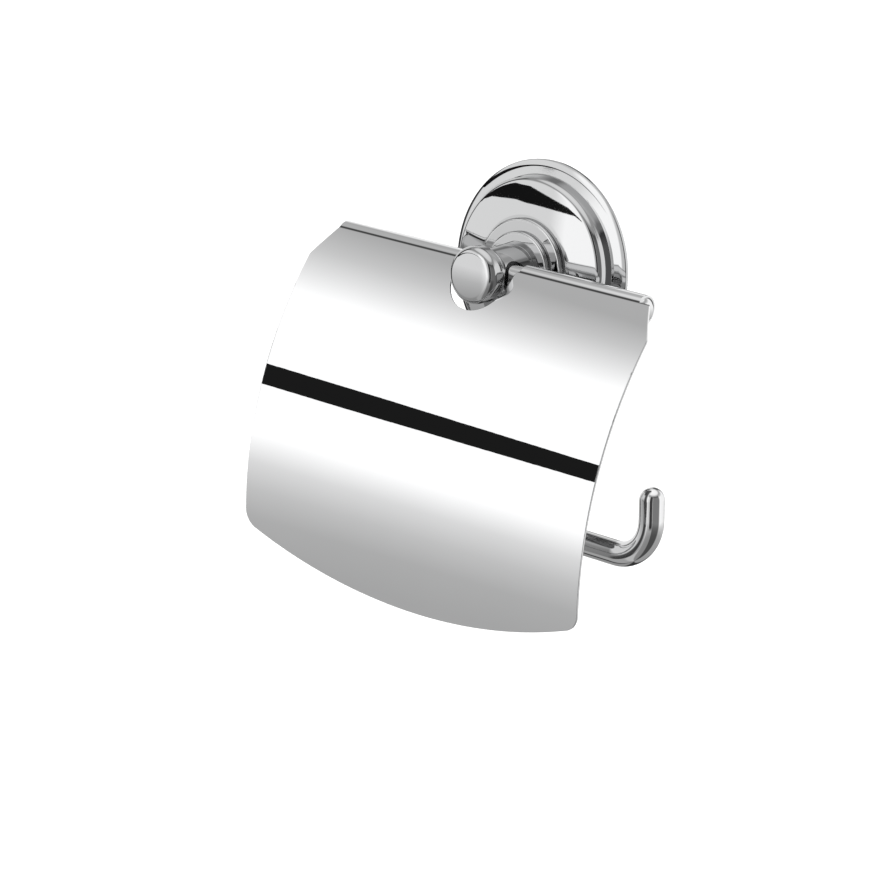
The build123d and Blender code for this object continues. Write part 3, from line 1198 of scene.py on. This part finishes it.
    def build(self) -> bpy.types.Object:
        """Join face, hood and the two barrels of the curl into one sheet and round its edges.

        Returns:
            The lid.
        """
        left, right = self.flat_stations()
        barrel_end = self.start_angle - self.wrap
        patches = [
            self.face(),
            self.curl(left[left <= -self.hood_end + NEAR], self.hood_lip),
            self.curl(left[left >= -self.hood_end - NEAR], barrel_end),
            self.curl(right[right <= self.curl_right_end + NEAR], barrel_end),
        ]
        sizes = np.cumsum([0] + [len(patch[0]) for patch in patches])
        outer = np.concatenate([patch[0] for patch in patches])
        inner = np.concatenate([patch[1] for patch in patches])
        faces = np.concatenate([patch[2] + shift for patch, shift in zip(patches, sizes)])
        _, first, merged = np.unique(outer.round(4), axis=0, return_index=True, return_inverse=True)
        flip = faces[:, ::-1]
        sheet = np.where(np.arange(len(faces))[:, None] < len(patches[0][2]), faces, flip)
        vertices, skins = thickened(outer[first], inner[first], merged.ravel()[sheet])
        piece = make_piece("lid_sheet", vertices, skins, self.finishes.sheet_chrome, self.crease)
        edge = piece.modifiers.new("edge_round", "BEVEL")
        edge.width, edge.segments = self.edge_round * MM, self.edge_steps
        edge.limit_method, edge.angle_limit = "ANGLE", radians(self.edge_angle)
        edge.use_clamp_overlap = False
        return place_piece(piece, "lid", ["lid"])


# ------------------------------------------------------------------------------ studio
@dataclass
class Studio:
    """Pale floor, soft bands of light round the holder, one overhead softbox and the camera."""

    floor_height: float = -0.62
    floor_half: float = 9.0
    floor_points: int = 5
    focal: float = 141.23
    distance: float = 1.13139
    azimuth: float = 39.289
    elevation: float = 13.329
    roll: float = 5.936
    offset: Tuple[float, float] = (0.030699, 0.058)
    sensor: float = 36.0
    clip: Tuple[float, float] = (0.01, 60.0)
    lamp_strength: float = 1.9
    lamp_spread: float = 70.0
    lamp_tilt: Tuple[float, float] = (-14.0, 8.0)
    paint_scale: float = 1.4
    paint_tones: Tuple[float, float] = (0.95, 0.93)
    paint_rough: float = 0.9
    # Light by height: sine of the elevation, brightness.
    bands: Tuple[Tuple[float, float], ...] = (
        (-1.0, 0.44), (-0.586, 0.46), (-0.45, 0.51), (-0.34, 0.65),
        (-0.23, 0.86), (-0.115, 1.26), (0.485, 1.26), (0.55, 0.98),
        (0.62, 0.70), (0.69, 0.50), (0.77, 0.52), (0.84, 1.1),
        (1.0, 1.3),
    )
    # Light by heading: degrees round from +X, share of the band's brightness.
    sectors: Tuple[Tuple[float, float], ...] = (
        (-180.0, 0.75), (-177.0, 0.05), (-162.0, 0.05), (-159.0, 1.0),
        (-120.0, 1.0), (-114.0, 1.4), (-94.0, 1.4), (-88.0, 0.75),
        (-72.0, 0.7), (-48.0, 0.7), (-42.0, 0.2), (14.0, 0.2),
        (24.0, 1.0), (100.0, 0.9), (106.0, 0.1), (124.0, 0.1),
        (130.0, 0.8), (180.0, 0.75),
    )
    # What a ramp's white stands for, and where the sectors even out: height, run of the change.
    brightest_band: float = 1.3
    brightest_sector: float = 1.4
    evening: Tuple[float, float] = (0.66, 0.05)
    # Dark card: height and half width, then heading and run of each ramp at its ends.
    card: Tuple[float, float] = (0.1435, 0.0435)
    card_right: Tuple[float, float] = (-104.0, 26.0)
    card_left: Tuple[float, float] = (-172.0, 20.0)
    card_widening: Tuple[float, float, float] = (-134.0, 14.0, 0.8)
    card_darkness: float = 0.99
    # Dark stand: heading and half width, height and half height, and how fast its ends fade.
    stand: Tuple[float, float] = (-59.0, 12.0)
    stand_height: Tuple[float, float] = (0.17, 0.5)
    stand_fade: float = 6.0
    stand_darkness: float = 0.93

    @staticmethod
    def graded(
        graph: Graph,
        stops: Sequence[Tuple[float, float]],
        brightest: float,
        reach: float,
        place: Socket,
    ) -> Socket:
        """Brightness that runs from stop to stop: brightest times a ramp of shares of it.

        Args:
            graph: the world's graph.
            stops: (place, brightness) pairs from -reach to reach.
            brightest: brightness that the ramp's white stands for.
            reach: largest place.
            place: where on the ramp each direction lies.

        Returns:
            The brightness.
        """
        shades = [((at + reach) / (2 * reach), tone(value / brightest)) for at, value in stops]
        along = 0.5 / reach * place + 0.5
        return brightest * graph.add("ShaderNodeValToRGB", {"stops": shades}, {"Fac": along})

    def light(self) -> None:
        """Shade the world by elevation and heading; rays from the camera see plain white.

        Level is band(height) * sector(heading), where the sector's share fades to 1 above the
        evening height. A dark card lies across the front left: it covers heights within its half
        width, times ramps in heading at both ends, of its middle. An upright dark stand covers
        headings within its half width and fades out at its ends in height.
        """
        world = bpy.data.worlds.new("studio")
        bpy.context.scene.world = world
        world.use_nodes = True
        graph = Graph(world.node_tree)
        way = graph.add("ShaderNodeTexCoord", output="Generated")
        height, side, deep = (graph.part(way, axis) for axis in "ZXY")
        heading = deep.math("ARCTAN2", deep, side) * degrees(1.0)
        band = self.graded(graph, self.bands, self.brightest_band, 1.0, height)
        share = self.graded(graph, self.sectors, self.brightest_sector, 180.0, heading)
        even_from, even_over = self.evening
        evened = ((height - even_from) / even_over).clamped()
        level = band * (share + (1.0 - share) * evened)
        right_at, right_over = self.card_right
        left_at, left_over = self.card_left
        wide_at, wide_over, wide_by = self.card_widening
        middle, half = self.card
        taper = ((right_at - heading) / right_over).clamped()
        taper = taper * ((heading - left_at) / left_over).clamped()
        wide = 1.0 + wide_by * ((wide_at - heading) / wide_over).clamped()
        card = (half * taper * wide - (height - middle).absolute()).above(0.0)
        toward, spread = self.stand
        centre, rise = self.stand_height
        upright = (self.stand_fade * (rise - (height - centre).absolute()) / rise).clamped()
        stand = (spread - (heading - toward).absolute()).above(0.0) * upright
        level = level * (1.0 - self.card_darkness * card) * (1.0 - self.stand_darkness * stand)
        camera_ray = graph.add("ShaderNodeLightPath", output="Is Camera Ray")
        seen = level + camera_ray * (1.0 - level)
        background = graph.add("ShaderNodeBackground", {}, {"Color": seen, "Strength": 1.0})
        graph.add("ShaderNodeOutputWorld", {}, {"Surface": background})

    def softbox(self) -> None:
        """Light the floor and the plain plastics evenly from a wide soft source overhead."""
        lamp = bpy.data.lights.new("overhead", "SUN")
        lamp.energy, lamp.angle = self.lamp_strength, radians(self.lamp_spread)
        box = bpy.data.objects.new("overhead", lamp)
        box.rotation_euler = (*(radians(tilt) for tilt in self.lamp_tilt), 0.0)
        box.visible_glossy = False
        bpy.context.scene.collection.objects.link(box)

    def floor(self) -> None:
        """Lay the floor: a flat sheet with a faint mottle in its paint."""
        material, graph, place = new_material("floor_paint")
        cloud = graph.noise(place, self.paint_scale, detail=3.0)
        colour = graph.mix(cloud, *((*tone(value), 1.0) for value in self.paint_tones))
        graph.surface(colour, self.paint_rough, None, metal=0.0)
        reach = np.linspace(-self.floor_half, self.floor_half, self.floor_points)
        x, y = np.meshgrid(reach, reach)
        vertices = np.stack([x, y, np.full_like(x, self.floor_height)], axis=2).reshape(-1, 3)
        mesh = bpy.data.meshes.new("floor")
        mesh.from_pydata(vertices.tolist(), [], grid_faces(len(reach), len(reach)).tolist())
        mesh.materials.append(material)
        floor = bpy.data.objects.new("floor", mesh)
        floor.visible_glossy = False
        bpy.context.scene.collection.objects.link(floor)

    def camera(self) -> None:
        """Set the camera: its place follows from its angles, its distance and where it aims."""
        turn, lift, lean = (radians(a) for a in (self.azimuth, self.elevation, self.roll))
        ahead = Vector((-sin(turn) * cos(lift), cos(turn) * cos(lift), -sin(lift)))
        level = Vector((cos(turn), sin(turn), 0.0))
        above = level.cross(ahead)
        right = cos(lean) * level + sin(lean) * above
        up = -sin(lean) * level + cos(lean) * above
        place = -(self.offset[0] * right + self.offset[1] * up + self.distance * ahead)
        data = bpy.data.cameras.new("camera")
        data.lens, data.sensor_width = self.focal, self.sensor
        data.clip_start, data.clip_end = self.clip
        camera = bpy.data.objects.new("camera", data)
        turned_to = Matrix((right, up, -ahead)).transposed().to_4x4()
        camera.matrix_world = Matrix.Translation(place) @ turned_to
        bpy.context.scene.collection.objects.link(camera)
        bpy.context.scene.camera = camera

    def build(self) -> None:
        """Set the whole studio, with plain colour reproduction."""
        self.light()
        self.softbox()
        self.floor()
        self.camera()
        bpy.context.scene.view_settings.view_transform = "Standard"


def corners(box: Any) -> List[List[float]]:
    """Return a box as plain lists of numbers."""
    return [[float(number) for number in corner] for corner in box]


def main() -> None:
    """Build the sub-assemblies in order, then the studio."""
    logging.basicConfig(level=logging.INFO, format="%(name)s: %(message)s")
    finishes = Finishes.make()
    WallFixing(finishes).build()
    Rosette(finishes).build()
    Collar(finishes).build()
    Post(finishes).build()
    PaperRod(finishes).build()
    SheetLid(finishes).build()
    Studio().build()


if __name__ == "__main__":
    main()
